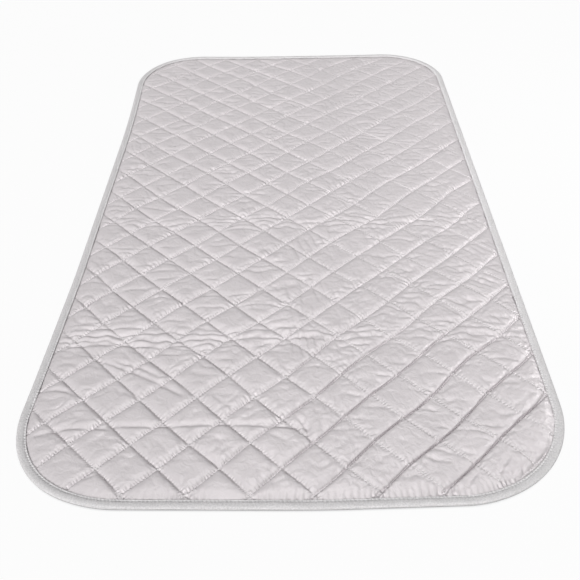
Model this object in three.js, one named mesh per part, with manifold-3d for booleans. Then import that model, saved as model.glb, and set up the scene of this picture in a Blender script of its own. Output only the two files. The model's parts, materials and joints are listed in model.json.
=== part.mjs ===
// Quilted ironing pad: a silver face cover, wadding and backing cloth, sewn together in diamonds
// and bound with tape all round. The pad lies flat and folds at two crosswise creases.
// Millimetres: X across the pad, Y from its front edge to its back edge, Z up from the table.
import * as THREE from "three";
import { mergeVertices } from "three/addons/utils/BufferGeometryUtils.js";
import Module from "manifold-3d";

// Outline of the pad.
const padWidth = 480;
const padLength = 850;
const cornerRadius = 100;
const cornerSegments = 4;

// Creases where the pad folds, measured from its front edge.
const frontCrease = 190;
const middleCrease = 380;
const creaseGap = 0.6;

// Cloth layers. The wadding is pressed to its seam thickness along the stitching and the edge.
const faceThickness = 0.5;
const waddingSeamThickness = 0.8;
const backingThickness = 0.5;
const layerGap = 0.3;

// Quilting diamonds, with one crossing of the stitched lines placed from the pad's centre.
const diamondWidth = 52.5;
const diamondLength = 50;
const crossingX = -5;
const crossingY = 13;
const crownHeight = 3.5;
const crownRidge = 18;
const crownTaper = 16;

// Binding tape folded round the edge, and the thread that sews it down.
const bindingWidth = 9;
const bindingThickness = 0.6;
const bindingRound = 1.4;
const bindingRoundSegments = 3;
const threadFromEdge = 7.4;
const threadWidth = 0.6;
const threadHeight = 0.4;

// Heights of the layers at the edge, from the table up.
const backingEdgeBottom = bindingThickness + layerGap;
const backingEdgeTop = backingEdgeBottom + backingThickness;
const waddingEdgeBottom = backingEdgeTop + layerGap;
const waddingEdgeTop = waddingEdgeBottom + waddingSeamThickness;
const faceEdgeBottom = waddingEdgeTop + layerGap;
const faceEdgeTop = faceEdgeBottom + faceThickness;
const bindingRoof = faceEdgeTop + layerGap;
const bindingTop = bindingRoof + bindingThickness;

// Insets from the pad's outline: where the layers end inside the tape, and where the field begins.
const layerInset = bindingThickness + layerGap;
const fieldInset = bindingWidth + layerGap;
const pocketInset = fieldInset + backingThickness;
const waddingInset = pocketInset + layerGap;

// Lengths that only make cutting bodies reach past what they cut, or joined bodies meet.
const reach = 5;
const lap = 1;
const trim = 0.2;

const wasm = await Module();
wasm.setup();

// A closed geometry as a solid that can be joined and cut.
function solid(geometry) {
  geometry.deleteAttribute("normal");
  geometry.deleteAttribute("uv");
  const merged = mergeVertices(geometry);
  return new wasm.Manifold(
    new wasm.Mesh({
      numProp: 3,
      vertProperties: new Float32Array(merged.attributes.position.array),
      triVerts: new Uint32Array(merged.index.array),
    }),
  );
}

// The pad's outline with rounded corners, moved inwards.
function padShape(inset) {
  const radius = cornerRadius - inset;
  const x = padWidth / 2 - cornerRadius;
  const y = padLength / 2 - cornerRadius;
  const quarter = Math.PI / 2;
  const shape = new THREE.Shape();
  shape.absarc(x, y, radius, 0, quarter);
  shape.absarc(-x, y, radius, quarter, 2 * quarter);
  shape.absarc(-x, -y, radius, 2 * quarter, 3 * quarter);
  shape.absarc(x, -y, radius, 3 * quarter, 4 * quarter);
  shape.closePath();
  return shape;
}

// A flat plate of the pad's outline between two heights.
function plate(inset, bottom, top) {
  const geometry = new THREE.ExtrudeGeometry(padShape(inset), {
    depth: top - bottom,
    bevelEnabled: false,
    curveSegments: cornerSegments,
  });
  geometry.translate(0, 0, bottom);
  return solid(geometry);
}

// A plate whose edge is bevelled or rounded by the given run and rise, above and below.
function bevelledPlate(inset, bottom, top, run, rise, segments) {
  const geometry = new THREE.ExtrudeGeometry(padShape(inset + run), {
    depth: top - bottom - 2 * rise,
    bevelEnabled: true,
    bevelSize: run,
    bevelThickness: rise,
    bevelSegments: segments,
    curveSegments: cornerSegments,
  });
  geometry.translate(0, 0, bottom + rise);
  return solid(geometry);
}

// A frame of the pad's outline: a plate with its middle cut out.
function frame(outerInset, innerInset, bottom, top) {
  return plate(outerInset, bottom, top).subtract(plate(innerInset, bottom - reach, top + reach));
}

// Whether a point of the pad lies inside its outline moved inwards.
function isInside(x, y, inset) {
  const beyondX = Math.max(Math.abs(x) - padWidth / 2 + cornerRadius, 0);
  const beyondY = Math.max(Math.abs(y) - padLength / 2 + cornerRadius, 0);
  return Math.hypot(beyondX, beyondY) <= cornerRadius - inset;
}

// A body with a quilted top: low along the stitched lines, with a crown in each diamond.
// A crown is a ridge, or a peak where the ridge is 0. With wholeOnly, the diamonds that the
// binding cuts stay flat.
function quiltedBody(level, ridge, wholeOnly) {
  const halfWidth = diamondWidth / 2;
  const halfLength = diamondLength / 2;
  const across = Math.ceil(padWidth / diamondWidth) + 1;
  const along = Math.ceil(padLength / diamondLength) + 1;
  const base = level - reach;
  const top = level + crownHeight;
  const isDiamond = (a, b) => Math.abs(a) <= across && Math.abs(b) <= along && (a + b) % 2 !== 0;
  const points = [];
  const triangle = (...corners) => corners.forEach((corner) => points.push(...corner));

  for (let a = -across; a <= across; a += 1) {
    for (let b = -along; b <= along; b += 1) {
      if (!isDiamond(a, b)) continue;
      const x = crossingX + a * halfWidth;
      const y = crossingY + b * halfLength;
      const corners = [
        { at: [x - halfWidth, y], beyond: [a - 1, b - 1] },
        { at: [x, y - halfLength], beyond: [a + 1, b - 1] },
        { at: [x + halfWidth, y], beyond: [a + 1, b + 1] },
        { at: [x, y + halfLength], beyond: [a - 1, b + 1] },
      ];
      const [left, front, right, back] = corners.map(({ at }) => [...at, level]);
      const [leftBase, frontBase, rightBase, backBase] = corners.map(({ at }) => [...at, base]);
      const isCrowned = !wholeOnly || corners.every(({ at }) => isInside(...at, fieldInset));
      if (isCrowned) {
        const ridgeLeft = [x - ridge / 2, y, top];
        const ridgeRight = [x + ridge / 2, y, top];
        triangle(left, front, ridgeLeft);
        triangle(front, right, ridgeRight);
        triangle(right, back, ridgeRight);
        triangle(back, left, ridgeLeft);
        if (ridge > 0) {
          triangle(front, ridgeRight, ridgeLeft);
          triangle(back, ridgeLeft, ridgeRight);
        }
      } else {
        triangle(left, front, right);
        triangle(left, right, back);
      }
      triangle(leftBase, backBase, rightBase);
      triangle(leftBase, rightBase, frontBase);
      corners.forEach(({ at, beyond }, index) => {
        if (isDiamond(...beyond)) return;
        const next = corners[(index + 1) % corners.length].at;
        triangle([...next, level], [...at, level], [...at, base]);
        triangle([...next, level], [...at, base], [...next, base]);
      });
    }
  }
  const geometry = new THREE.BufferGeometry();
  geometry.setAttribute("position", new THREE.Float32BufferAttribute(points, 3));
  return solid(geometry);
}

// The face cover: a sheet over the crowns, which come down to its edge inside the tape.
function makeFaceCover() {
  const rise = crownHeight + layerGap;
  const bottom = faceEdgeBottom - lap;
  const field = bevelledPlate(fieldInset, bottom - rise, faceEdgeTop + rise, crownTaper, rise, 1);
  return quiltedBody(faceEdgeTop, crownRidge, false)
    .intersect(field)
    .add(frame(layerInset, fieldInset + lap, bottom, faceEdgeTop))
    .subtract(quiltedBody(faceEdgeBottom, 0, true));
}

// The wadding: it fills the pad from the backing to the crowns and is pressed thin inside the tape.
function makeWadding() {
  const floor = backingThickness + layerGap;
  const highest = waddingEdgeTop + crownHeight + reach;
  return quiltedBody(waddingEdgeTop, 0, true)
    .intersect(plate(layerInset, waddingEdgeBottom, highest))
    .add(plate(waddingInset, floor, waddingEdgeBottom + trim));
}

// The backing cloth: it lies on the table and steps up over the lower leg of the tape.
function makeBacking() {
  return plate(fieldInset, 0, backingEdgeTop)
    .subtract(plate(pocketInset, backingThickness, backingEdgeTop + reach))
    .add(frame(layerInset, fieldInset + trim, backingEdgeBottom, backingEdgeTop));
}

// The binding tape: a channel round the edge, with its outer corners rounded.
function makeBinding() {
  const round = Math.min(bindingRound, bindingTop / 2 - trim);
  return bevelledPlate(0, 0, bindingTop, round, round, bindingRoundSegments)
    .subtract(plate(bindingWidth, -reach, bindingTop + reach))
    .subtract(plate(bindingThickness, bindingThickness, bindingRoof));
}

// The thread that runs along the top of the tape.
function makeBindingThread() {
  const bottom = bindingTop + layerGap;
  const inner = threadFromEdge + threadWidth / 2;
  const outer = threadFromEdge - threadWidth / 2;
  return frame(outer, inner, bottom, bottom + threadHeight);
}

const materials = {
  face: new THREE.MeshStandardMaterial({ color: 0xd3cfd0, roughness: 0.42, metalness: 0.3 }),
  wadding: new THREE.MeshStandardMaterial({ color: 0xf1efe9, roughness: 1, metalness: 0 }),
  backing: new THREE.MeshStandardMaterial({ color: 0xdad8d4, roughness: 0.9, metalness: 0 }),
  binding: new THREE.MeshStandardMaterial({ color: 0xbdbbbc, roughness: 0.85, metalness: 0 }),
  thread: new THREE.MeshStandardMaterial({ color: 0xd8d7d6, roughness: 0.6, metalness: 0 }),
};

// The part of a full-size layer that lies in one panel of the pad, as a named mesh.
function panelMesh(name, layer, material, [startX, endX], [startY, endY]) {
  const height = 2 * (bindingTop + crownHeight + reach);
  const box = new THREE.BoxGeometry(endX - startX, endY - startY, height);
  box.translate((startX + endX) / 2, (startY + endY) / 2, 0);
  const { numProp, vertProperties, triVerts } = layer.intersect(solid(box)).getMesh();
  const geometry = new THREE.BufferGeometry();
  geometry.setAttribute("position", new THREE.BufferAttribute(vertProperties, numProp));
  geometry.setIndex(new THREE.BufferAttribute(triVerts, 1));
  geometry.computeVertexNormals();
  const mesh = new THREE.Mesh(geometry, material);
  mesh.name = name;
  return mesh;
}

const layers = {
  face_cover: { body: makeFaceCover(), material: materials.face },
  wadding: { body: makeWadding(), material: materials.wadding },
  backing: { body: makeBacking(), material: materials.backing },
};
const edging = {
  binding: { body: makeBinding(), material: materials.binding },
  binding_thread: { body: makeBindingThread(), material: materials.thread },
};

const frontEdge = -padLength / 2;
const halfGap = creaseGap / 2;
const sideToSide = [-padWidth / 2 - reach, padWidth / 2 + reach];
const panels = {
  front: [frontEdge - reach, frontEdge + frontCrease - halfGap],
  middle: [frontEdge + frontCrease + halfGap, frontEdge + middleCrease - halfGap],
  back: [frontEdge + middleCrease + halfGap, -frontEdge + reach],
};

const pad = new THREE.Group();
for (const [panel, rangeY] of Object.entries(panels)) {
  for (const [name, { body, material }] of Object.entries(layers)) {
    pad.add(panelMesh(`${panel}_${name}`, body, material, sideToSide, rangeY));
  }
  for (const [name, { body, material }] of Object.entries(edging)) {
    if (panel === "middle") {
      pad.add(panelMesh(`${panel}_${name}_left`, body, material, [sideToSide[0], 0], rangeY));
      pad.add(panelMesh(`${panel}_${name}_right`, body, material, [0, sideToSide[1]], rangeY));
    } else {
      pad.add(panelMesh(`${panel}_${name}`, body, material, sideToSide, rangeY));
    }
  }
}

export default pad;
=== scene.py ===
import json
import math
import time

import bmesh
import bpy
import numpy as np
from mathutils import Matrix, Vector
from mathutils.bvhtree import BVHTree

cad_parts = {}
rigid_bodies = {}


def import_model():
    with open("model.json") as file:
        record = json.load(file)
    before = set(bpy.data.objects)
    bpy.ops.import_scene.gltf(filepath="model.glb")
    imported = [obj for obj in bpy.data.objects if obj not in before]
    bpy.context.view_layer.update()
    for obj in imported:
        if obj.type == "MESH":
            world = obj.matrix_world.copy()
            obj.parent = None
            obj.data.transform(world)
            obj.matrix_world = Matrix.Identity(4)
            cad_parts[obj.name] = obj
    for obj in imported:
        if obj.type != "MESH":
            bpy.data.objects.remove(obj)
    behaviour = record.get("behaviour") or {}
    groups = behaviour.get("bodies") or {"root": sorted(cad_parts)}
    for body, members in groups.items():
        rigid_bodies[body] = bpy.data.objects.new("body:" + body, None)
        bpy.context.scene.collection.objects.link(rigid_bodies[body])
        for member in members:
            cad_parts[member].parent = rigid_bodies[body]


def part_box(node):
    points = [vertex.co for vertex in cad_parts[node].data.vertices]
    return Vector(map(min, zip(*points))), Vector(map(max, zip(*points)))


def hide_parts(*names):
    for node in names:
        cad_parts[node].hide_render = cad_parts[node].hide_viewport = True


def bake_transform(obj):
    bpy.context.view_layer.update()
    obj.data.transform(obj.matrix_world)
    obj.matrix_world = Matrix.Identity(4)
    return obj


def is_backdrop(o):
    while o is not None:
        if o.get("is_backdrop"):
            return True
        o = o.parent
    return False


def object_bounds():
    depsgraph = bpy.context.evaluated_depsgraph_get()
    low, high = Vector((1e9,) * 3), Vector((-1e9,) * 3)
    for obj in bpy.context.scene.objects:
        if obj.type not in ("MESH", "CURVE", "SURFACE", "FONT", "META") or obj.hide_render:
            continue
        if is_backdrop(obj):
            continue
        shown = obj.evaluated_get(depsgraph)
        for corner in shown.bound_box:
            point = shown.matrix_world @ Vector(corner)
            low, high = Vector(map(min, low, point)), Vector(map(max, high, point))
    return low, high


startTime = time.time()
for leftOver in list(bpy.data.objects):  # the start-up file's cube, lamp and camera
    bpy.data.objects.remove(leftOver)
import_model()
scene = bpy.context.scene
cadLow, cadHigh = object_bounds()
mm = 0.001


def report(words):
    print("%5.1f s  %s" % (time.time() - startTime, words))


# the pad as a whole, with its size and creases read from the CAD nodes; lengths are millimetres
pad = {
    "cornerRadius": 100.0,
    "panelGap": 0.6,  # between two CAD panels
    "seamStep": (26.25, 25.0),  # half a diamond across and along
    "crossing": (-5.0, 13.0),  # one place where two seams cross
    "seamReach": 14,  # seams on each side of that place
    "splitRow": -7,  # rows before this one belong to the front pieces
    "splitAt": -140.0,  # where the tape changes from front to back piece
    "foldReach": 14.0,  # how far a fold bends the cloth on each side
    "cellCrowding": 0.5,  # how much narrower mesh cells are beside a seam
    "sharpAngle": 55.0,  # corners sharper than this shade as edges
    "seamWander": 0.9,  # how far the sewn rows stray from straight
    "wanderSize": (130, 130), "wanderSeeds": (71, 72), "wanderWaves": 8,
    "wanderInset": (10, 40),  # sets in between these insets
    "swayInset": (70, 5), "swayStations": 500,
    "swaySmooth": 9,  # stations on each side that are averaged
    # the soft edge wanders from the cut pattern: place along the outline, and how far outwards
    "edgeSway": ((0, 0.5), (850, -8), (1010, -5), (1090, -1), (1130, 5), (1165, 8.5), (1245, 4.5),
                 (1320, 0.5), (1400, -2), (1710, -3.5), (1865, 0), (1945, 3), (1985, 2), (2020, -2),
                 (2060, -1), (2215, 1), (2370, -3), (2410, -1)),
}
halfWidth = (cadHigh.x - cadLow.x) / 2 / mm
halfLength = (cadHigh.y - cadLow.y) / 2 / mm
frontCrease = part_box("front_backing")[1].y / mm + pad["panelGap"] / 2
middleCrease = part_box("middle_backing")[1].y / mm + pad["panelGap"] / 2
stepX, stepY = pad["seamStep"]
crossX, crossY = pad["crossing"]
seamReach = pad["seamReach"]
seamSide = math.hypot(stepX, stepY)
seamGap = 2 * stepX * stepY / seamSide
radius = pad["cornerRadius"]
straightX, straightY = halfWidth - radius, halfLength - radius
quarter = math.pi / 2 * radius
outlineLength = 4 * (straightX + straightY + quarter)


def edgeDistance(x, y):
    sideways, endways = np.abs(x) - straightX, np.abs(y) - straightY
    outside = np.hypot(np.maximum(sideways, 0), np.maximum(endways, 0))
    return radius - outside - np.minimum(np.maximum(sideways, endways), 0)


# how far along the outline a place is, from the right side's front end
def runAlong(x, y):
    sideways, endways = np.abs(x) - straightX, np.abs(y) - straightY
    turn = np.arctan2(np.maximum(endways, 0), np.maximum(sideways, 1e-9)) * radius
    onEnd = (sideways < endways) & (sideways <= 0)
    part = np.where(onEnd, straightY + quarter - sideways, np.minimum(np.abs(y), straightY) + turn)
    right = np.where(y > 0, part, outlineLength - part)
    left = outlineLength / 2 + np.where(y > 0, -part, part)
    return np.mod(np.where(x > 0, right, left) + straightY, outlineLength)


def swayAlong():
    smooth = pad["swaySmooth"]
    runs = np.linspace(0, outlineLength, pad["swayStations"], endpoint=False)
    amounts = np.interp(runs, *zip(*pad["edgeSway"]), period=outlineLength)
    kernel = np.hanning(2 * smooth + 1)
    around = np.concatenate((amounts[-smooth:], amounts, amounts[:smooth]))
    return runs, np.convolve(around, kernel / kernel.sum(), "valid")


swayRuns, swayAmounts = swayAlong()


def layOut(points):
    x, y = points[:, 0], points[:, 1]
    inset = edgeDistance(x, y)
    outX = np.sign(x) * np.maximum(np.abs(x) - straightX, 0)
    outY = np.sign(y) * np.maximum(np.abs(y) - straightY, 0)
    length = np.maximum(np.hypot(outX, outY), 1e-6)
    shift = np.interp(runAlong(x, y), swayRuns, swayAmounts, period=outlineLength)
    shift = shift * ramp(*pad["swayInset"], inset) / length
    stray = pad["seamWander"] * ramp(*pad["wanderInset"], inset)
    size, waves = pad["wanderSize"], pad["wanderWaves"]
    strayX, strayY = (stray * noise(x, y, size, seed, waves) for seed in pad["wanderSeeds"])
    return np.column_stack((x + outX * shift + strayX, y + outY * shift + strayY, points[:, 2]))


def seamPlace(x, y):
    across, along = (x - crossX) / stepX, (y - crossY) / stepY
    return (along + across) / 2, (along - across) / 2


# a point's place among the seams, and its distances from them, above zero on a seam's back side
def seamDistances(x, y):
    u, v = seamPlace(x, y)
    return u, v, (u - np.round(u)) * seamGap, (v - np.round(v)) * seamGap


def bump(distance, width):
    return np.exp(-(distance / width) ** 2)


def rise(distance, width):
    return 1 - np.exp(-np.maximum(distance, 0) / width)


def ramp(low, high, value):
    t = np.clip((value - low) / (high - low), 0, 1)
    return t * t * (3 - 2 * t)


def noise(x, y, size, seed, count=20):  # waves of about this size across and along
    rng = np.random.default_rng(seed)
    turns, phases = rng.uniform(0, math.tau, count), rng.uniform(0, math.tau, count)
    paces = rng.uniform(0.5, 1.5, count)
    total = np.zeros_like(x)
    for turn, phase, pace in zip(turns, phases, paces):
        place = x * math.cos(turn) / size[0] + y * math.sin(turn) / size[1]
        total += np.sin(place * pace * math.tau + phase)
    return total / math.sqrt(count / 2)


def diamondNoise(u, v, seed):  # a sine hash: one chance value for each diamond
    return np.mod(np.sin(np.floor(u) * 12.9898 + np.floor(v) * 78.233 + seed * 37.719) * 43758.5453, 1)


def ridge(phase, power):  # wide valleys between narrow crests
    return np.abs(np.mod(phase, 1) * 2 - 1) ** power


def trough(phase, steep=0.1, gentle=0.26):  # narrow troughs, steeper where the phase falls
    t = np.mod(phase, 1)
    return np.maximum(np.exp(-(t / gentle) ** 1.5), np.exp(-((1 - t) / steep) ** 1.5))


def readPoints(mesh):
    points = np.empty(len(mesh.vertices) * 3, np.float32)
    mesh.vertices.foreach_get("co", points)
    return points.reshape(-1, 3).astype(float)


def writePoints(mesh, points):
    mesh.vertices.foreach_set("co", np.asarray(points, np.float32).ravel())
    mesh.update()


def addObject(name, data):
    obj = bpy.data.objects.new(name, data)
    scene.collection.objects.link(obj)
    return obj


def newObject(name, bm):
    mesh = bpy.data.meshes.new(name)
    bm.to_mesh(mesh)
    bm.free()
    return addObject(name, mesh)


def applyModifiers(obj):
    made = bpy.data.meshes.new_from_object(obj.evaluated_get(bpy.context.evaluated_depsgraph_get()))
    old = obj.data
    obj.modifiers.clear()
    obj.data = made
    bpy.data.meshes.remove(old)


def finishPiece(obj, material):
    writePoints(obj.data, layOut(readPoints(obj.data)) * mm)
    obj.data.polygons.foreach_set("use_smooth", [True] * len(obj.data.polygons))
    obj.data.materials.clear()
    obj.data.materials.append(material)
    obj.data.update()


def sharpenCuts(obj):  # so that a cut side doesn't shade the cloth beside it
    obj.data.set_sharp_from_angle(angle=math.radians(pad["sharpAngle"]))


def bendFront(obj):
    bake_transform(obj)


def bendBack(obj):
    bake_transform(obj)


# finishes of the cloths: depths and yarns are millimetres, scales are per metre
clothSettings = {
    "coatedCloth": {
        "colour": (0.61, 0.575, 0.586), "metal": 0.3, "roughness": 0.42, "place": "UV",
        "blotchScale": 28.0, "blotchShade": 0.03,
        "yarn": 0.7, "weaveDepth": 0.05, "crinkleDepth": 0.75, "puckerDepth": 0.18,
    },
    "backingCloth": {
        "colour": (0.62, 0.61, 0.60), "metal": 0.0, "roughness": 0.85, "place": "UV",
        "blotchScale": 28.0, "blotchShade": 0.04,
        "yarn": 0.8, "weaveDepth": 0.2, "crinkleDepth": 0.3, "puckerDepth": 0.1,
    },
    "tapeCloth": {
        "colour": (0.72, 0.705, 0.71), "metal": 0.0, "roughness": 0.8, "place": "Object",
        "blotchScale": 700.0, "blotchShade": 0.12,
        "yarn": 0.9, "weaveDepth": 0.25, "crinkleDepth": 0.2,
        "rimShadeShare": 0.26,  # painted shade: what is left of the colour on the lower outer rim
    },
    "sewingThread": {
        "colour": (0.76, 0.745, 0.75), "metal": 0.0, "roughness": 0.6, "place": "Object",
        "blotchScale": 28.0, "blotchShade": 0.06,
        "yarn": 0.5, "weaveDepth": 0.1, "crinkleDepth": 0.1,
    },
}
grain = {
    "waveBands": 20 / math.tau,  # bands per unit of a wave texture at scale 1
    "yarnWobble": 0.6, "blotchRange": (0.3, 0.7), "blotchDetail": 3.0, "crinkleScale": 150.0,
    "crinkleDetail": 4.0, "crinkleSwirl": 0.8, "puckerPitch": 2.9, "puckerReach": 3.8,
    "puckerSwayScale": 110.0,
    "puckerSway": 18.0,  # how unevenly the gathers follow each other
}


def addNode(nodes, kind, inputs=None, **options):
    node = nodes.new("ShaderNode" + kind)
    for name, value in options.items():
        setattr(node, name, value)
    for name, value in (inputs or {}).items():
        node.inputs[name].default_value = value
    return node


def startGroup(name, inputs):
    group = bpy.data.node_groups.new(name, "ShaderNodeTree")
    for socket, kind in inputs.items():
        group.interface.new_socket(socket, in_out="INPUT", socket_type="NodeSocket" + kind)
    group.interface.new_socket("Height", in_out="OUTPUT", socket_type="NodeSocketFloat")
    return group, group.nodes.new("NodeGroupInput"), group.nodes.new("NodeGroupOutput")


def combine(tree, operation, first, second=0):
    node = addNode(tree.nodes, "Math", operation=operation)
    for socket, value in zip(node.inputs, (first, second)):
        if isinstance(value, (int, float)):
            socket.default_value = value
        else:
            tree.links.new(value, socket)
    return node.outputs[0]


def makeWeaveGroup():
    group, inside, outside = startGroup("plainWeave", {"Place": "Vector", "Yarns": "Float"})
    bands = []
    for direction in ("X", "Y"):
        band = addNode(group.nodes, "TexWave", {"Distortion": grain["yarnWobble"], "Detail": 1.0},
                       wave_type="BANDS", bands_direction=direction)
        group.links.new(inside.outputs["Place"], band.inputs["Vector"])
        group.links.new(inside.outputs["Yarns"], band.inputs["Scale"])
        bands.append(band.outputs["Fac"])
    group.links.new(combine(group, "MULTIPLY", *bands), outside.inputs["Height"])
    return group


# small gathers on both sides of the sewn rows
def makePuckerGroup():
    sockets = {"Place": "Vector", "Pitch": "Float", "Reach": "Float"}
    group, inside, outside = startGroup("seamPucker", sockets)
    sways = addNode(group.nodes, "TexNoise", {"Scale": grain["puckerSwayScale"]})
    group.links.new(inside.outputs["Place"], sways.inputs["Vector"])
    rows = []
    for sign in (1, -1):  # the two directions of the rows
        slope = (sign / (2 * stepX * mm), 1 / (2 * stepY * mm), 0)
        dot = addNode(group.nodes, "VectorMath", {1: slope}, operation="DOT_PRODUCT")
        group.links.new(inside.outputs["Place"], dot.inputs[0])
        start = crossY / (2 * stepY) + sign * crossX / (2 * stepX)
        rows.append(combine(group, "SUBTRACT", dot.outputs["Value"], start))
    heights = []
    for across, along in (rows, rows[::-1]):
        near = combine(group, "MULTIPLY", combine(group, "PINGPONG", across, 0.5), seamGap * mm)
        close = addNode(group.nodes, "MapRange", {"From Min": 0.0, "To Min": 1.0, "To Max": 0.0},
                        interpolation_type="SMOOTHSTEP")
        group.links.new(near, close.inputs["Value"])
        group.links.new(inside.outputs["Reach"], close.inputs["From Max"])
        run = combine(group, "MULTIPLY", along, seamSide * mm * math.tau)
        beat = combine(group, "DIVIDE", run, inside.outputs["Pitch"])
        sway = combine(group, "MULTIPLY", sways.outputs["Fac"], grain["puckerSway"])
        wave = combine(group, "SINE", combine(group, "ADD", beat, sway))
        heights.append(combine(group, "MULTIPLY", close.outputs["Result"], wave))
    group.links.new(combine(group, "ADD", *heights), outside.inputs["Height"])
    return group


weaveGroup, puckerGroup = makeWeaveGroup(), makePuckerGroup()


def makeCloth(name):
    settings = clothSettings[name]
    material = bpy.data.materials.new(name)
    material.use_nodes = True
    nodes, links = material.node_tree.nodes, material.node_tree.links
    shader = nodes["Principled BSDF"]
    shader.inputs["Roughness"].default_value = settings["roughness"]
    shader.inputs["Metallic"].default_value = settings["metal"]
    where = addNode(nodes, "TexCoord").outputs[settings["place"]]

    # colour
    blotch = addNode(nodes, "TexNoise", {"Scale": settings["blotchScale"], "Detail": grain["blotchDetail"]})
    links.new(where, blotch.inputs["Vector"])
    tone = addNode(nodes, "ValToRGB")
    for end, spot, sign in zip(tone.color_ramp.elements, grain["blotchRange"], (-1, 1)):
        end.position = spot
        end.color = (*(c * (1 + sign * settings["blotchShade"]) for c in settings["colour"]), 1)
    links.new(blotch.outputs["Fac"], tone.inputs["Fac"])
    tint = tone.outputs["Color"]
    # painted shade: the tape's rim attribute darkens the colour on the fold's lower outer side
    if "rimShadeShare" in settings:
        rim = addNode(nodes, "Attribute", attribute_name="rim")
        left = addNode(nodes, "MapRange", {"To Min": 1.0, "To Max": settings["rimShadeShare"]})
        links.new(rim.outputs["Fac"], left.inputs["Value"])
        rimShade = addNode(nodes, "VectorMath", operation="SCALE")
        links.new(tint, rimShade.inputs["Vector"])
        links.new(left.outputs["Result"], rimShade.inputs["Scale"])
        tint = rimShade.outputs["Vector"]
    links.new(tint, shader.inputs["Base Color"])

    # relief, from the widest to the finest
    creases = addNode(nodes, "TexNoise", {"Scale": grain["crinkleScale"], "Detail": grain["crinkleDetail"],
                                          "Distortion": grain["crinkleSwirl"]})
    weave = addNode(nodes, "Group", {"Yarns": 1 / (settings["yarn"] * mm) / grain["waveBands"]},
                    node_tree=weaveGroup)
    links.new(where, creases.inputs["Vector"])
    links.new(where, weave.inputs["Place"])
    layers = [(creases.outputs["Fac"], settings["crinkleDepth"]),
              (weave.outputs["Height"], settings["weaveDepth"])]
    if "puckerDepth" in settings:
        sizes = {"Pitch": grain["puckerPitch"] * mm, "Reach": grain["puckerReach"] * mm}
        drawn = addNode(nodes, "Group", sizes, node_tree=puckerGroup)
        links.new(where, drawn.inputs["Place"])
        layers.insert(0, (drawn.outputs["Height"], settings["puckerDepth"]))
    normal = None
    for height, depth in layers:
        relief = addNode(nodes, "Bump", {"Strength": 1.0, "Distance": depth * mm})
        links.new(height, relief.inputs["Height"])
        if normal:
            links.new(normal, relief.inputs["Normal"])
        normal = relief.outputs["Normal"]
    links.new(normal, shader.inputs["Normal"])
    return material


cloths = {name: makeCloth(name) for name in clothSettings}


# a sheet of cells that lie along the seams, trimmed a little inside the pad's outline
def makeSeamGrid(cells, border):
    bm = bmesh.new()
    segments = 2 * seamReach * cells
    bmesh.ops.create_grid(bm, x_segments=segments, y_segments=segments, size=seamReach)
    for vert in bm.verts:  # narrower cells beside the seams
        for axis in (0, 1):
            vert.co[axis] -= pad["cellCrowding"] * math.sin(vert.co[axis] * math.tau) / math.tau
    lean = Matrix(((stepX, -stepX, 0, crossX), (stepY, stepY, 0, crossY), (0, 0, 1, 0), (0, 0, 0, 1)))
    bmesh.ops.transform(bm, matrix=lean, verts=bm.verts)
    places = np.array([v.co for v in bm.verts])
    inside = edgeDistance(places[:, 0], places[:, 1]) > border
    bmesh.ops.delete(bm, geom=[v for v, keep in zip(bm.verts, inside) if not keep], context="VERTS")
    bmesh.ops.delete(bm, geom=[v for v in bm.verts if not v.link_faces], context="VERTS")
    bm.loops.layers.uv.new("lie")
    layFlat(bm, bm.faces)
    return bm


# the flat cloth in metres, for the weave
def layFlat(bm, faces):
    lies = bm.loops.layers.uv["lie"]
    for face in faces:
        for loop in face.loops:
            loop[lies].uv = (loop.vert.co.x * mm, loop.vert.co.y * mm)


def flatPlaces(mesh):
    corner = np.empty(len(mesh.loops), np.int32)
    mesh.loops.foreach_get("vertex_index", corner)
    lie = np.empty(len(mesh.loops) * 2, np.float32)
    mesh.uv_layers["lie"].uv.foreach_get("vector", lie)
    flat = np.zeros((len(mesh.vertices), 2))
    flat[corner] = lie.reshape(-1, 2)
    return flat[:, 0] / mm, flat[:, 1] / mm


def splitAtSeams(mesh, front):
    bm = bmesh.new()
    bm.from_mesh(mesh)
    lies = bm.loops.layers.uv["lie"]
    away = []
    for face in bm.faces:
        centre = sum((loop[lies].uv for loop in face.loops), Vector((0, 0))) / len(face.loops) / mm
        u, v = seamPlace(centre.x, centre.y)
        if (math.floor(u) + math.floor(v) + 1 < pad["splitRow"]) != front:
            away.append(face)
    bmesh.ops.delete(bm, geom=away, context="FACES")
    return bm


# the quilted top: cover cloth over its filling, sewn down along the seams and blown up as cloth
quiltSettings = {
    "cells": 16,  # mesh cells along one side of a diamond
    "border": 4.0,  # the cloth ends this far inside the outline, under the tape
    "tapeEdge": 9.0,  # held flat by the tape to here
    "tapeEase": 1.5,  # and moulded freely from this much further in
    "sewnWidth": 0.2,  # points this near to a seam are sewn down
    "seamCrease": 0.7,  # how sharp the finer mesh keeps the seams
    "edgeHeight": 2.7,
    "edgeRise": 4.0,  # how fast the filling thickens
    "seamHeight": 3.5,  # beside the seams, before the thread bites
    "crown": 2.1,
    "crownSpread": 0.8,  # how much diamonds differ
    "crownFront": 0.3,  # how much fuller the front right is
    "shoulder": 6.0,  # higher makes flatter tops with steeper sides
    "crownTop": 6.75,
    "crownSoft": 6.0,  # heights are eased towards the top from here
    "underside": 1.7, "leastFilling": 0.15,
    "clothScale": 0.1,  # units of the simulation for a millimetre
    "frames": 12,
}
clothSolver = {
    "quality": 4, "mass": 0.3, "tension_stiffness": 40, "compression_stiffness": 40,
    "shear_stiffness": 15, "bending_stiffness": 3, "air_damping": 4, "vertex_group_mass": "sewn",
    "shrink_min": -0.004, "use_pressure": True, "uniform_pressure_force": 0.05,
}
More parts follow.
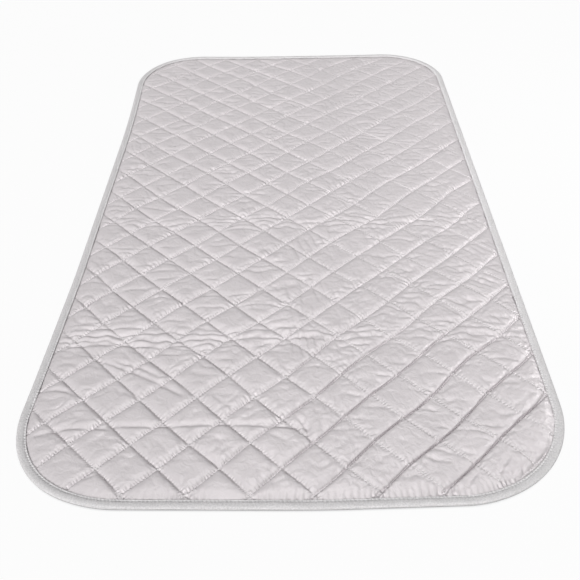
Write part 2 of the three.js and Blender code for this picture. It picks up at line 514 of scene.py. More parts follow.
# what the thread does beside a seam; two widths are for a seam's front and back side
sewing = {
    "faint": 0.8,  # the falling seams hardly show on the right
    "parting": (0.3, 0.7),  # of a deep seam: share left at a crossing, growth
    "bite": 0.8,  # depth that the thread pulls down
    "biteWidth": (0.7, 1.7),
    "leftFall": (1.3, 3.2),  # the same for the falling and the slash seams on the left
    "leftSlash": (0.8, 0.9), "biteShape": 1.4,
    "biteSize": (0.95, 0.3, 0.4, 1.5),  # middle, spread and limits of its unevenness
    "creaseEase": 0.6,  # how much less it is in the front crease
    "crevice": (1.3, (0.6, 1.8), 1.6),  # how much deeper the deep seams are, widths and shape
    "lip": (0.8, 4.0, 0.8),  # rise in front of them, reach, share elsewhere
    "slit": (2.4, 0.9),  # how deep and wide they close up at the thread
    "lean": (1.7, 0.5, 2.2, 5.0),  # bulge over from behind: size, start, top, fade
    "pinch": (2.0, 1.0, 5.0, 15.0),  # depth where they meet the tape, widths, reach inwards
    "pucker": (0.42, 4.4, 0.35),  # height, pitch and sway
    "puckerSize": (0.6, 0.5, 0.1, 1.6), "puckerWidth": (1.2, 2.0), "puckerShare": (0.5, 1.0),
}
# folds and gathers in the cover
folds = {
    "bow": 0.004,  # how much folds bow
    "crosswise": (1.2, 12.5),  # depth and spacing
    "arcs": (1.3, 12.0), "arcMiddle": 90,
    "creases": (2.3, 1.5, 9.5),  # depths in front and in the middle, and spacing
    "creaseWidth": (15, 13), "creaseWander": 4, "lengthwise": (1.1, 10.0),
    "lengthwisePlace": (10, 8, 26),  # place, wander and width
    "single": (1.7, 2.0, 5.0),  # depth, swing and turns
    "singleSides": (0.6, 1.4),
    "singleFade": (14, 0.35),  # at the ends, at most this share of the length
    "crumple": 0.85, "crinkle": 0.6,
    "sharpness": 1.1,  # of both
    "calm": 0.7,  # how much smoother the front left is
    "seamShare": 0.55,  # what is left of a long fold at a seam
    "seamFade": 3.0,
    "gather": (3.8, 5.4, 0.35, 4.0, 3.6),  # depth, spacing, sway, sharpness, reach inwards
    "gatherSize": (0.7, 0.45, 0, 2), "cornerPull": (1.9, 12.5, 0.2, 3.0, 16.0),
    "gatherLevel": 0.1,  # taken off so that gathers rise and fall
}
# single folds that lie across the seams: from, to, half width
singleFolds = (
    ((-196, -258), (-92, -311), 2.2), ((-172, -262), (-118, -288), 1.8), ((-228, -352), (-150, -346), 2.2),
    ((-165, -342), (24, -347), 2.0), ((-225, -246), (-128, -243), 2.6), ((170, -238), (222, -243), 2.2),
    ((6, -330), (22, -372), 2.2), ((-232, -300), (-196, -306), 2.0), ((-137, 289), (-101, 292), 3.0),
    ((-110, 260), (-77, 260), 3.0), ((-68, 259), (-36, 256), 3.0), ((-31, 233), (-11, 252), 2.6),
    ((-11, 252), (10, 235), 2.6), ((-184, 348), (-158, 338), 3.2), ((-114, 360), (-90, 352), 3.2),
    ((-134, 342), (-107, 343), 3.0), ((-160, 258), (-136, 243), 2.8), ((-112, 219), (-86, 218), 2.8),
    ((-86, 318), (-52, 313), 3.2), ((-112, 61), (-66, 60), 2.6), ((-222, 72), (-192, 82), 2.6),
    ((138, -416), (158, -395), 1.4), ((165, -409), (189, -376), 1.5), ((177, -406), (194, -390), 1.4),
    ((188, -399), (201, -384), 1.4), ((17, -420), (46, -384), 3.4),
)


def unevenSize(chance, limits):
    middle, spread, least, most = limits
    return np.clip(middle + spread * chance, least, most)


def sideValue(near, pair):  # one value in front of a seam, another behind it
    return np.where(near > 0, pair[1], pair[0])


def faintSeams(x):
    return sewing["faint"] * ramp(-40, 80, x)


def frontRight(x, y):  # slash seams cut deepest here
    return ramp(-60, 100, x) * ramp(-190, -340, y)


def partedSeams(x, y):
    least, power = sewing["parting"]
    between = np.abs(np.sin(seamPlace(x, y)[0] * math.pi))
    return frontRight(x, y) * (least + (1 - least) * between ** power)


def bulgeOver(x, y):  # sideways shift of the cloth behind the deep slash seams
    most, start, top, fade = sewing["lean"]
    slash = seamDistances(x, y)[3]
    reach = ramp(start, top, slash) * np.exp(-np.maximum(slash - top, 0) / fade)
    shift = most * partedSeams(x, y) * reach * ramp(10, 22, edgeDistance(x, y))
    return shift * stepY / seamSide, -shift * stepX / seamSide


def domeShape(distance):
    return 1 - (1 - np.clip(distance / (seamGap / 2), 0, 1)) ** quiltSettings["shoulder"]


def quiltStart(x, y):
    settings = quiltSettings
    u, v, fall, slash = seamDistances(x, y)
    uneven = settings["crownSpread"] * (diamondNoise(u, v, 1) - 0.5)
    height = settings["crown"] + uneven + settings["crownFront"] * frontRight(x, y)
    crown = height * (1 - (1 - domeShape(np.abs(fall))) * (1 - faintSeams(x))) * domeShape(np.abs(slash))
    edge = rise(edgeDistance(x, y) - settings["tapeEdge"], settings["edgeRise"])
    return settings["edgeHeight"] + edge * (settings["seamHeight"] - settings["edgeHeight"] + crown)


def blowUp(obj, x, y):
    settings = quiltSettings
    fall, slash = seamDistances(x, y)[2:]
    sewn = np.minimum(np.abs(fall), np.abs(slash)) < settings["sewnWidth"]
    sewn |= edgeDistance(x, y) < settings["tapeEdge"]
    writePoints(obj.data, readPoints(obj.data) * settings["clothScale"])
    pins = obj.vertex_groups.new(name="sewn")
    pins.add(np.flatnonzero(sewn).tolist(), 1.0, "REPLACE")
    cloth = obj.modifiers.new("quilting", "CLOTH")
    for name, value in clothSolver.items():
        setattr(cloth.settings, name, value)
    cloth.settings.effector_weights.gravity = 0
    cloth.collision_settings.use_collision = False
    cloth.point_cache.frame_start = 1
    cloth.point_cache.frame_end = settings["frames"]
    for step in range(1, settings["frames"] + 1):
        scene.frame_set(step)
    applyModifiers(obj)
    scene.frame_set(1)
    obj.vertex_groups.clear()
    writePoints(obj.data, readPoints(obj.data) / settings["clothScale"])


def creaseSeams(obj, x, y):
    pairs = np.empty(len(obj.data.edges) * 2, np.int32)
    obj.data.edges.foreach_get("vertices", pairs)
    pairs = pairs.reshape(-1, 2)
    alongSeam = np.zeros(len(pairs), bool)
    for near in seamDistances(x, y)[2:]:
        alongSeam |= (np.abs(near) < quiltSettings["sewnWidth"])[pairs].all(axis=1)
    hard = obj.data.attributes.new("crease_edge", "FLOAT", "EDGE")
    hard.data.foreach_set("value", alongSeam.astype(np.float32) * quiltSettings["seamCrease"])


def creaseBands(x, y):  # where the pad has been folded crosswise
    wander = folds["creaseWander"] * noise(x, y, (170, 400), 5)
    frontWidth, middleWidth = folds["creaseWidth"]
    front = bump(y - frontCrease - wander, frontWidth) * (0.55 + 0.5 * ramp(40, -160, x))
    return front, bump(y - middleCrease - wander, middleWidth)


def singleFold(x, y, start, end, width):
    depth, swing, turns = folds["single"]
    along = Vector(end) - Vector(start)
    reach = along.length
    along.normalize()
    run = (x - start[0]) * along.x + (y - start[1]) * along.y
    away = (y - start[1]) * along.x - (x - start[0]) * along.y + swing * np.sin(run / reach * turns + width)
    most, share = folds["singleFade"]
    fade = min(most, reach * share)
    ends = ramp(0, fade, run) * ramp(reach, reach - fade, run)
    return depth * ends * bump(away, sideValue(away, folds["singleSides"]) * width)


def crumples(x, y, size, seed):
    return np.maximum(0, 1 - folds["sharpness"] * np.abs(noise(x, y, size, seed))) ** 2


def looseFolds(x, y, bowed):  # held flat beside the seams
    settings = folds
    calm = 1 - settings["calm"] * ramp(-255, -300, y) * ramp(90, -30, x)
    depth, spacing = settings["crosswise"]
    sway = 0.30 * noise(x, y, (110, 60), 11) + 0.12 * noise(x, y, (34, 30), 12)
    beside = 0.5 * ramp(60, 220, np.abs(x))
    patch = calm * ramp(0.1, 1.2, noise(x, y, (80, 26), 13) + beside)
    total = depth * trough(bowed / spacing + sway) * patch
    depth, spacing = settings["arcs"]
    swung = y + settings["bow"] * (x - settings["arcMiddle"]) ** 2
    patch = ramp(80, 200, x) * bump(y + 150, 130) * ramp(-0.6, 0.8, noise(x, y, (60, 30), 20))
    total += depth * patch * trough(swung / spacing + 0.25 * noise(x, y, (80, 70), 19))
    patch = ramp(-0.8, 0.8, noise(x, y, (70, 60), 42))
    total += settings["crumple"] * crumples(x, y, (30, 24), 41) * patch
    patch = calm * (0.4 + 0.6 * ramp(-120, 60, x))
    return total + settings["crinkle"] * crumples(x, y, (15, 12), 43) * patch


def longFolds(x, y, bowed):  # cross the seams
    frontDepth, middleDepth, spacing = folds["creases"]
    front, middle = creaseBands(x, y)
    sway = 0.35 * noise(x, y, (120, 90), 14) + 0.12 * noise(x, y, (30, 30), 15)
    total = np.maximum(frontDepth * front, middleDepth * middle) * trough(bowed / spacing + sway)
    depth, spacing = folds["lengthwise"]
    place, wander, width = folds["lengthwisePlace"]
    line = bump(x - place - wander * noise(x, y, (300, 130), 16), width) * ramp(60, -60, y)
    line = line * ramp(-0.4, 0.9, noise(x, y, (60, 48), 18))
    total += depth * line * trough(x / spacing + 0.4 * noise(x, y, (70, 90), 17))
    return total + sum(singleFold(x, y, *fold) for fold in singleFolds)


def foldShape(x, y):
    u, v, fall, slash = seamDistances(x, y)
    middle = crossX + (np.floor(u) - np.floor(v)) * stepX
    bowed = y + folds["bow"] * (x - middle) ** 2  # across a diamond
    away = rise(np.minimum(np.abs(fall), np.abs(slash)), folds["seamFade"])
    held = folds["seamShare"]
    return -away * looseFolds(x, y, bowed) - (held + (1 - held) * away) * longFolds(x, y, bowed)


def seamGrooves(x, y):
    settings = sewing
    fall, slash = seamDistances(x, y)[2:]
    leftSide = ramp(40, -90, x)
    groove = np.zeros_like(x)
    seams = ((fall, 1 - faintSeams(x), settings["leftFall"]), (slash, 1, settings["leftSlash"]))
    for near, strength, leftWidth in seams:
        walls = [wide + (left - wide) * leftSide for wide, left in zip(settings["biteWidth"], leftWidth)]
        steep = np.abs(near) / sideValue(near, walls)
        groove = np.maximum(groove, strength * np.exp(-steep ** settings["biteShape"]))
    ease = 1 - settings["creaseEase"] * creaseBands(x, y)[0]
    return settings["bite"] * groove * ease * unevenSize(noise(x, y, (45, 45), 36), settings["biteSize"])


def deepSeams(x, y, inset):  # the slash seams at the front right
    slash = seamDistances(x, y)[3]
    depth, widths, shape = sewing["crevice"]
    parted = depth * np.exp(-(np.abs(slash) / sideValue(slash, widths)) ** shape)
    depth, width = sewing["slit"]
    parted = parted + depth * bump(slash, width)
    height, reach, share = sewing["lip"]
    lip = height * (np.where(slash < 0, np.exp(slash / reach), 0) + share)
    depth, before, behind, reach = sewing["pinch"]
    pinch = bump(np.minimum(slash, 0), before) * np.exp(-np.maximum(slash, 0) / behind - inset / reach)
    return parted * partedSeams(x, y) + (depth * pinch - lip) * frontRight(x, y)


def seamPuckers(x, y):
    height, pitch, sway = sewing["pucker"]
    u, v, fall, slash = seamDistances(x, y)
    total = np.zeros_like(x)
    for near, place, seed in ((fall, v, 31), (slash, u, 32)):
        beat = place * seamSide / pitch + sway * noise(x, y, (40, 40), seed)
        size = height * unevenSize(noise(x, y, (60, 60), seed + 10), sewing["puckerSize"])
        reach = np.abs(near) / sideValue(near, sewing["puckerWidth"])
        wave = np.sin(beat * math.tau) * reach * np.exp(1 - reach)
        total += size * wave * sideValue(near, sewing["puckerShare"])
    return total


def gathers(x, y, inset, name, size, seed):  # where the cover goes under the tape
    depth, spacing, sway, power, reach = folds[name]
    crest = ridge(runAlong(x, y) / spacing + sway * noise(x, y, size, seed), power)
    return depth * (crest - folds["gatherLevel"]) * np.exp(-inset / reach)


def fineDetail(x, y):
    inset = edgeDistance(x, y) - quiltSettings["tapeEdge"]
    near = np.maximum(inset, 0)
    total = seamPuckers(x, y) - seamGrooves(x, y) - deepSeams(x, y, near) + foldShape(x, y) * rise(inset, 5)
    front = ramp(-300, -400, y) * ramp(-200, -60, x) + 0.2
    front = front * unevenSize(noise(x, y, (70, 70), 33), folds["gatherSize"])
    corner = ramp(130, 200, x) * ramp(-310, -380, y)
    total -= front * gathers(x, y, near, "gather", (50, 200), 34)
    total -= corner * gathers(x, y, near, "cornerPull", (50, 50), 35)
    return total * ramp(-quiltSettings["tapeEase"], quiltSettings["tapeEase"], inset)


def easeHeights(heights):  # bent towards the top, and kept above the underside
    soft, top = quiltSettings["crownSoft"], quiltSettings["crownTop"]
    eased = soft + (top - soft) * np.tanh((heights - soft) / (top - soft))
    least = quiltSettings["underside"] + quiltSettings["leastFilling"]
    return np.maximum(np.where(heights > soft, eased, heights), least)


quilt = newObject("quilted_top", makeSeamGrid(quiltSettings["cells"], quiltSettings["border"]))
flatX, flatY = flatPlaces(quilt.data)
writePoints(quilt.data, np.column_stack((flatX, flatY, quiltStart(flatX, flatY))))
report("quilt grid: %d points" % len(flatX))
blowUp(quilt, flatX, flatY)
puffed = readPoints(quilt.data)
report("cloth: heights %.2f to %.2f mm, middle %.2f" % (*np.percentile(puffed[:, 2], (0, 100, 50)),))
creaseSeams(quilt, flatX, flatY)
finer = quilt.modifiers.new("finer", "SUBSURF")
finer.levels = finer.render_levels = 1
finer.uv_smooth = "NONE"
finer.boundary_smooth = "PRESERVE_CORNERS"
applyModifiers(quilt)
flatX, flatY = flatPlaces(quilt.data)
points = readPoints(quilt.data)
points[:, 2] = easeHeights(points[:, 2] + fineDetail(flatX, flatY))
for axis, shift in enumerate(bulgeOver(flatX, flatY)):
    points[:, axis] += shift
writePoints(quilt.data, points)
report("quilt detail: %d points, top %.2f mm" % (len(points), points[:, 2].max()))


def treeOf(mesh):
    corners = [v.co.copy() for v in mesh.vertices]
    return BVHTree.FromPolygons(corners, [tuple(p.vertices) for p in mesh.polygons])


quiltTree = treeOf(quilt.data)


# walls from the rim down to a flat underside, which is cut where it has to bend
def closeBelow(bm, height, cuts):
    rim = [edge for edge in bm.edges if edge.is_boundary]
    dropped = bmesh.ops.extrude_edge_only(bm, edges=rim)["geom"]
    low = {v for v in dropped if isinstance(v, bmesh.types.BMVert)}
    for vert in low:
        vert.co.z = height
    lowEdges = [e for e in dropped if isinstance(e, bmesh.types.BMEdge) and low.issuperset(e.verts)]
    floor = bmesh.ops.edgeloop_fill(bm, edges=lowEdges)["faces"]
    geom = list({*floor, *(e for f in floor for e in f.edges), *(v for f in floor for v in f.verts)})
    for cut in cuts:
        split = bmesh.ops.bisect_plane(bm, geom=geom, plane_co=(0, cut, 0), plane_no=(0, 1, 0))
        geom = split["geom"]
    below = {f for f in geom if isinstance(f, bmesh.types.BMFace)}
    layFlat(bm, below.union(*(v.link_faces for v in low if v.is_valid)))
    bmesh.ops.recalc_face_normals(bm, faces=bm.faces)


def foldCuts(crease):
    reach = pad["foldReach"]
    return [crease + reach * share for share in np.linspace(-1.1, 1.1, 13)]


for front in (True, False):
    bm = splitAtSeams(quilt.data, front)
    closeBelow(bm, quiltSettings["underside"], foldCuts(frontCrease if front else middleCrease))
    piece = newObject("quilted_top_front" if front else "quilted_top_back", bm)
    finishPiece(piece, cloths["coatedCloth"])
    panels = ("front", "middle") if front else ("back",)
    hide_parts(*(panel + "_face_cover" for panel in panels),
                *(panel + "_wadding" for panel in panels))
    (bendFront if front else bendBack)(piece)
    report("%s: %d faces" % (piece.name, len(piece.data.polygons)))
bpy.data.objects.remove(quilt)


# the backing: plain cloth under the filling, drawn up along the seams
backingSettings = {
    "cells": 8, "border": 3.5, "tapeEdge": 9.4, "drawnUp": 0.75, "drawnReach": 3.5, "ripple": 0.12,
    "rippleSize": (30, 18), "rippleSeed": 51, "rippleRise": 4.0, "edgeHeight": 0.95,
    "edgeReach": 4.0, "thickness": 0.5,
}


def backingShape(x, y):
    settings = backingSettings
    fall, slash = seamDistances(x, y)[2:]
    near = np.minimum(np.abs(fall), np.abs(slash))
    inset = np.maximum(edgeDistance(x, y) - settings["tapeEdge"], 0)
    drawn = settings["drawnUp"] * np.exp(-near / settings["drawnReach"])
    ripple = np.abs(noise(x, y, settings["rippleSize"], settings["rippleSeed"]))
    ripple = ripple * rise(near, settings["rippleRise"])
    edge = settings["edgeHeight"] * np.exp(-inset / settings["edgeReach"])
    return np.maximum(drawn + settings["ripple"] * ripple, edge)


backing = newObject("backing", makeSeamGrid(backingSettings["cells"], backingSettings["border"]))
flatX, flatY = flatPlaces(backing.data)
writePoints(backing.data, np.column_stack((flatX, flatY, backingShape(flatX, flatY))))
backingPieces, backingCuts, backingAreas = {}, {}, {}
for front in (True, False):
    piece = newObject("backing_front" if front else "backing_back", splitAtSeams(backing.data, front))
    flatY = flatPlaces(piece.data)[1]
    cutLength = (flatY.max() - flatY.min() + 2 * backingSettings["border"]) * mm
    backingCuts[front] = (2 * halfWidth * mm, cutLength)
    backingAreas[front] = sum(face.area * abs(face.normal.z) for face in piece.data.polygons) * mm * mm
    walls = piece.modifiers.new("walls", "SOLIDIFY")
    walls.thickness = backingSettings["thickness"]
    walls.offset = 1
    applyModifiers(piece)
    finishPiece(piece, cloths["backingCloth"])
    sharpenCuts(piece)
    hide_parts(*(panel + "_backing" for panel in (("front", "middle") if front else ("back",))))
    (bendFront if front else bendBack)(piece)
    backingPieces[front] = piece
bpy.data.objects.remove(backing)
report("backing done")


# the binding: woven tape folded round the edge, swept along the outline
tapeSettings = {
    # the section as inset and height: a strip above, a round fold and a strip below
    "above": ((8.4, 3.3), (8.4, 3.8), (8.0, 4.0), (7.6, 4.05), (7.2, 4.05),
              (6.8, 4.1), (6.2, 4.2), (4.6, 4.35)),
    "below": ((4.6, 0.02), (7.4, 0.05), (9.0, 0.1), (9.0, 0.65), (6.0, 0.62)),
    "foldMiddle": (3.0, 2.8),
    "foldOuter": (3.0, 1.6, 2.72, 9),  # half width, half heights above and below, points
    "foldInner": (2.1, 0.5, 2.05, 5),
    "stitchLine": 7.2, "stitchCount": 778,
    "stitchStations": 4,  # mesh stations for each stitch
    "stitchHalf": (1.0, 0.5, 0.45), "stitchProud": 0.12, "dimple": 0.9, "dimpleWidth": 0.7,
    "topFrom": (2.0, 3.5),  # heights between which the top side begins
    "ripple": 0.12, "rippleSize": (30, 30), "rippleSeed": 61, "rippleHeight": (0.8, 3.0),
    "rippleInset": (0.0, 4.0),
    "rimShadeHeight": (1.4, 4.3),  # the rim's painted shade is greyer below these heights
    "rimShadeWidth": (2.2, 5.0),  # and outside these insets
}
stitchPitch = outlineLength / tapeSettings["stitchCount"]


def outlinePoint(run, inset):
    sides = ((2 * straightY, (straightX, straightY), 0), (2 * straightX, (-straightX, straightY), 90),
             (2 * straightY, (-straightX, -straightY), 180), (2 * straightX, (straightX, -straightY), 270))
    for length, centre, turn in sides:
        angle = math.radians(turn) + max(0, run - length) / radius
        if run < length + quarter:
            break
        run -= length + quarter
    away = Vector((math.cos(angle), math.sin(angle), 0))
    heading = Vector((-math.sin(angle), math.cos(angle), 0))
    return Vector((*centre, 0)) + away * (radius - inset) - heading * max(0, length - run), heading


def addCurve(name, points, dimensions):
    curve = bpy.data.curves.new(name, "CURVE")
    curve.dimensions = dimensions
    line = curve.splines.new("POLY")
    line.points.add(len(points) - 1)
    for spot, place in zip(line.points, points):
        spot.co = (*place, 1)
    line.use_cyclic_u = True
    return addObject(name, curve)


def foldArc(name):  # from the top of the fold round its nose to the bottom
    inset, height = tapeSettings["foldMiddle"]
    wide, above, below, count = tapeSettings[name]
    for turn in np.linspace(math.pi / 2, -math.pi / 2, count):
        yield inset - wide * math.cos(turn), height + (above if turn > 0 else below) * math.sin(turn)


def sweepTape():
    inner = list(foldArc("foldInner"))[::-1]
    around = [*tapeSettings["above"], *foldArc("foldOuter"), *tapeSettings["below"], *inner]
    section = addCurve("tapeSection", [(-inset, height, 0) for inset, height in around], "2D")
    stations = tapeSettings["stitchStations"] * tapeSettings["stitchCount"]
    path = [outlinePoint(k * outlineLength / stations, 0)[0] for k in range(stations)]
    edge = addCurve("tapeEdge", path, "3D")
    edge.data.twist_mode = "Z_UP"
    edge.data.bevel_mode = "OBJECT"
    edge.data.bevel_object = section
    swept = bpy.data.meshes.new_from_object(edge.evaluated_get(bpy.context.evaluated_depsgraph_get()))
    for helper in (edge, section):
        bpy.data.objects.remove(helper)
    bm = bmesh.new()
    bm.from_mesh(swept)
    bpy.data.meshes.remove(swept)
    bmesh.ops.remove_doubles(bm, verts=bm.verts, dist=0.01)
    bmesh.ops.recalc_face_normals(bm, faces=bm.faces)
    return bm


def tapeShape(points):
    settings = tapeSettings
    x, y, z = points.T
    inset = edgeDistance(x, y)
    beat = np.cos(runAlong(x, y) / stitchPitch * math.tau)
    line = bump(inset - settings["stitchLine"], settings["dimpleWidth"]) * ramp(*settings["topFrom"], z)
    ripple = ramp(*settings["rippleHeight"], z) * ramp(*settings["rippleInset"], inset)
    ripple = ripple * noise(x, y, settings["rippleSize"], settings["rippleSeed"])
    lift = settings["ripple"] * ripple
    lift -= settings["dimple"] * line * (0.5 + 0.5 * beat)
    return np.column_stack((x, y, z + lift))


# painted shade: the lower outer side of the fold is darkened where it turns under towards the table
def tapeRimShade(points):
    x, y, z = points.T
    upward = ramp(*tapeSettings["rimShadeHeight"], z)
    inward = ramp(*tapeSettings["rimShadeWidth"], edgeDistance(x, y))
    return (1 - upward) * (1 - inward)


tape = newObject("binding", sweepTape())
# the rim attribute holds the painted shade of the fold's lower outer side
rimShades = tape.data.attributes.new("rim", "FLOAT", "POINT")
rimShades.data.foreach_set("value", tapeRimShade(readPoints(tape.data)).astype(np.float32))
writePoints(tape.data, tapeShape(readPoints(tape.data)))
report("tape: %d faces" % len(tape.data.polygons))
tapeTree = treeOf(tape.data)
for front in (True, False):
    bm = bmesh.new()
    bm.from_mesh(tape.data)
    whole = [*bm.verts, *bm.edges, *bm.faces]
    bmesh.ops.bisect_plane(bm, geom=whole, plane_co=(0, pad["splitAt"], 0), plane_no=(0, 1, 0),
                           clear_outer=front, clear_inner=not front)
    bmesh.ops.holes_fill(bm, edges=[e for e in bm.edges if e.is_boundary])
    piece = newObject("binding_front" if front else "binding_back", bm)
    finishPiece(piece, cloths["tapeCloth"])
    sharpenCuts(piece)
    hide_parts(*(("front_binding", "middle_binding_left", "middle_binding_right") if front
                         else ("back_binding",)))
    (bendFront if front else bendBack)(piece)
bpy.data.objects.remove(tape)


# stitches: each one a small rounded bar of thread lying on the cloth
stitchSettings = {
    "pitch": 3.2,
    "half": (1.3, 0.45, 0.4),  # half length, width and height
    "tapeInset": 9.8,  # quilting rows stop at the tape
    "sinkAbove": -0.1, "sinkBelow": -0.05,
}


def addStitch(bm, start, end, half):
    along = (end - start).normalized()
    side = Vector((0, 0, 1)).cross(along).normalized()
    turned = Matrix((along, side, along.cross(side))).transposed().to_4x4()
    place = Matrix.Translation((start + end) / 2) @ turned @ Matrix.Diagonal((*half, 1))
    bmesh.ops.create_icosphere(bm, subdivisions=1, radius=1, matrix=place)


def surfaceHeight(tree, x, y):  # none where a row runs off the cloth
    hit = tree.ray_cast(Vector((x, y, 50)), Vector((0, 0, -1)))[0]
    return None if hit is None else hit.z


def quiltHeight(x, y):
    return surfaceHeight(quiltTree, x, y)


def backingHeight(x, y):
    return float(backingShape(np.array(x), np.array(y)))


# the ends of the stitches of one row, for the front or the back pieces
def stitchPlaces(slash, index, front):
    half = stitchSettings["half"][0] / seamSide
    for k in range(int(2 * seamReach * seamSide / stitchSettings["pitch"])):
        place = -seamReach + (k + 0.5) * stitchSettings["pitch"] / seamSide
        ends = []
        for t in (place - half, place + half):
            u, v = (t, index) if slash else (index, t)
            ends.append((crossX + (u - v) * stepX, crossY + (u + v) * stepY))
        middle = np.mean(ends, axis=0)
        rowBelow = math.floor(place) + index  # of the two diamond rows beside the stitch
        onCloth = edgeDistance(*middle) >= stitchSettings["tapeInset"]
        if onCloth and (rowBelow < pad["splitRow"]) == front:
            yield ends


def sewSeams(heightAt, front, sink):
    whole = bmesh.new()
    count = 0
    rows = [(slash, index) for slash in (True, False) for index in range(-seamReach, seamReach + 1)]
    for slash, index in rows:
        row = bmesh.new()
        for ends in stitchPlaces(slash, index, front):
            heights = [heightAt(*end) for end in ends]
            if None in heights:
                continue
            start, stop = (Vector((*end, height + sink)) for end, height in zip(ends, heights))
            addStitch(row, start, stop, stitchSettings["half"])
            count += 1
        if row.verts:
            part = bpy.data.meshes.new("row")
            row.to_mesh(part)
            whole.from_mesh(part)
            bpy.data.meshes.remove(part)
        row.free()
    return whole, count


def sewTape(front):
    half = tapeSettings["stitchHalf"]
    bm = bmesh.new()
    for k in range(tapeSettings["stitchCount"]):
        centre, heading = outlinePoint((k + 0.5) * stitchPitch, tapeSettings["stitchLine"])
        if (centre.y < pad["splitAt"]) != front:
            continue
        ends = [centre - heading * half[0], centre + heading * half[0]]
        for place in ends:
            place.z = surfaceHeight(tapeTree, place.x, place.y) + tapeSettings["stitchProud"]
        addStitch(bm, *ends, half)
    return bm


for front in (True, False):
    tag = "front" if front else "back"
    bend = bendFront if front else bendBack
    upper, upperCount = sewSeams(quiltHeight, front, stitchSettings["sinkAbove"])
    seams = newObject("quilting_thread_" + tag, upper)
    finishPiece(seams, cloths["sewingThread"])
    bend(seams)
    lower, lowerCount = sewSeams(backingHeight, front, stitchSettings["sinkBelow"])
    under = newObject("quilting_thread_under_" + tag, lower)
    finishPiece(under, cloths["sewingThread"])
    bend(under)
    row = newObject("binding_thread_" + tag, sewTape(front))
    finishPiece(row, cloths["sewingThread"])
    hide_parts(*(("front_binding_thread", "middle_binding_thread_left", "middle_binding_thread_right")
                       if front else ("back_binding_thread",)))
    bend(row)
    report("stitches %s: %d above, %d below" % (tag, upperCount, lowerCount))


# floor, lamps and camera, in metres
stage = {
    "floorColour": (0.65, 0.65, 0.65, 1), "floorRoughness": 0.9, "floorHalf": 4.0,
    "floorDrop": 0.0006,
    "floorShare": 0.94,  # how much of the floor is plain white to the camera
    "shadowReach": 0.006,  # close under the pad the floor keeps its shadow
    "shadowRange": (0.12, 0.5), "worldStrength": 0.1,
    "sun": {"from": (-0.4, -0.9, 0.64), "strength": 2.25, "sheen": 1.05, "softness": 3.0},
    "lamps": {
        "overhead": {"place": (-0.05, -0.1, 1.3), "size": (0.45, 0.45), "power": 3.2},
        "right": {"place": (0.75, 0.0, 0.42), "size": (0.1, 0.1), "power": 1.5},
    },
    "cameraPlace": (0.01789, -0.73067, 0.50809), "yaw": -1.867, "pitch": 41.774, "roll": -2.174,
    "focal": 715.73 / 580,  # focal length as a share of the picture's width
    "sensor": 36.0, "clip": (0.01, 50.0),
}


def whiteRays(tree):  # camera, glossy and see-through rays meet plain white
    path = addNode(tree.nodes, "LightPath")
    total = path.outputs["Is Camera Ray"]
    for ray in ("Is Glossy Ray", "Is Transmission Ray"):
        total = combine(tree, "MAXIMUM", total, path.outputs[ray])
    return total


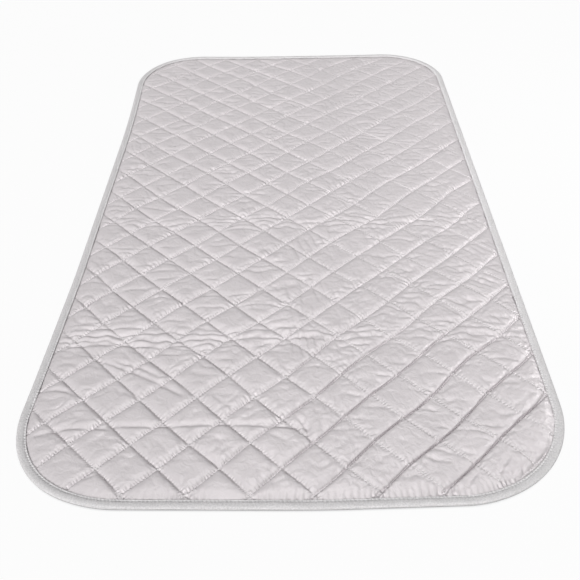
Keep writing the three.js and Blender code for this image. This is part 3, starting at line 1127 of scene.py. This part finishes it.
def makeFloor():
    bm = bmesh.new()
    bmesh.ops.create_grid(bm, x_segments=1, y_segments=1, size=stage["floorHalf"])
    floor = newObject("floor", bm)
    writePoints(floor.data, readPoints(floor.data) - (0, 0, stage["floorDrop"]))
    material = bpy.data.materials.new("paleFloor")
    material.use_nodes = True
    tree = material.node_tree
    nodes, links = tree.nodes, tree.links
    shader = nodes["Principled BSDF"]
    shader.inputs["Base Color"].default_value = stage["floorColour"]
    shader.inputs["Roughness"].default_value = stage["floorRoughness"]
    under = addNode(nodes, "AmbientOcclusion", {"Distance": stage["shadowReach"]})
    dark, clear = stage["shadowRange"]
    limits = {"From Min": dark, "From Max": clear, "To Max": stage["floorShare"]}
    opening = addNode(nodes, "MapRange", limits)
    links.new(under.outputs["AO"], opening.inputs["Value"])
    seen = addNode(nodes, "Emission", {"Color": (1, 1, 1, 1)})
    mix = addNode(nodes, "MixShader")
    links.new(combine(tree, "MULTIPLY", whiteRays(tree), opening.outputs["Result"]), mix.inputs["Fac"])
    links.new(shader.outputs["BSDF"], mix.inputs[1])
    links.new(seen.outputs["Emission"], mix.inputs[2])
    links.new(mix.outputs["Shader"], nodes["Material Output"].inputs["Surface"])
    floor.data.materials.append(material)
    floor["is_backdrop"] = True


def makeWorld():
    world = bpy.data.worlds.new("studio")
    scene.world = world
    world.use_nodes = True
    tree = world.node_tree
    room = tree.nodes["Background"]
    room.inputs["Color"].default_value = (1, 1, 1, 1)
    level = addNode(tree.nodes, "MapRange", {"To Min": stage["worldStrength"], "To Max": 1.0})
    tree.links.new(whiteRays(tree), level.inputs["Value"])
    tree.links.new(level.outputs["Result"], room.inputs["Strength"])


def hangLamp(lamp, place):
    holder = addObject(lamp.name, lamp)
    holder.location = place
    holder.rotation_euler = (-Vector(place)).to_track_quat("-Z", "Y").to_euler()
    return holder


def makeLamps():
    sun = stage["sun"]
    for name in ("strength", "sheen"):
        key = bpy.data.lights.new("sun_" + name, "SUN")
        key.energy, key.angle = sun[name], math.radians(sun["softness"])
        hangLamp(key, sun["from"]).visible_glossy = name == "sheen"  # little glare when seen from behind
    for name, settings in stage["lamps"].items():
        lamp = bpy.data.lights.new(name, "AREA")
        lamp.shape = "RECTANGLE"
        lamp.size, lamp.size_y = settings["size"]
        lamp.energy = settings["power"]
        hangLamp(lamp, settings["place"])


def makeCamera():
    yaw, pitch, roll = (math.radians(stage[k]) for k in ("yaw", "pitch", "roll"))
    turned = Matrix.Rotation(-yaw, 4, "Z") @ Matrix.Rotation(math.pi / 2 - pitch, 4, "X")
    turned = turned @ Matrix.Rotation(roll, 4, "Z")
    lens = bpy.data.cameras.new("view")
    lens.sensor_width = stage["sensor"]
    lens.lens = stage["focal"] * stage["sensor"]
    lens.clip_start, lens.clip_end = stage["clip"]
    scene.camera = addObject("view", lens)
    scene.camera.matrix_world = Matrix.Translation(stage["cameraPlace"]) @ turned


makeFloor()
makeWorld()
makeLamps()
makeCamera()
scene.view_settings.view_transform = "Standard"
newLow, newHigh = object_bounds()
report("box %.1f x %.1f x %.1f mm" % tuple((newHigh - newLow) / mm))
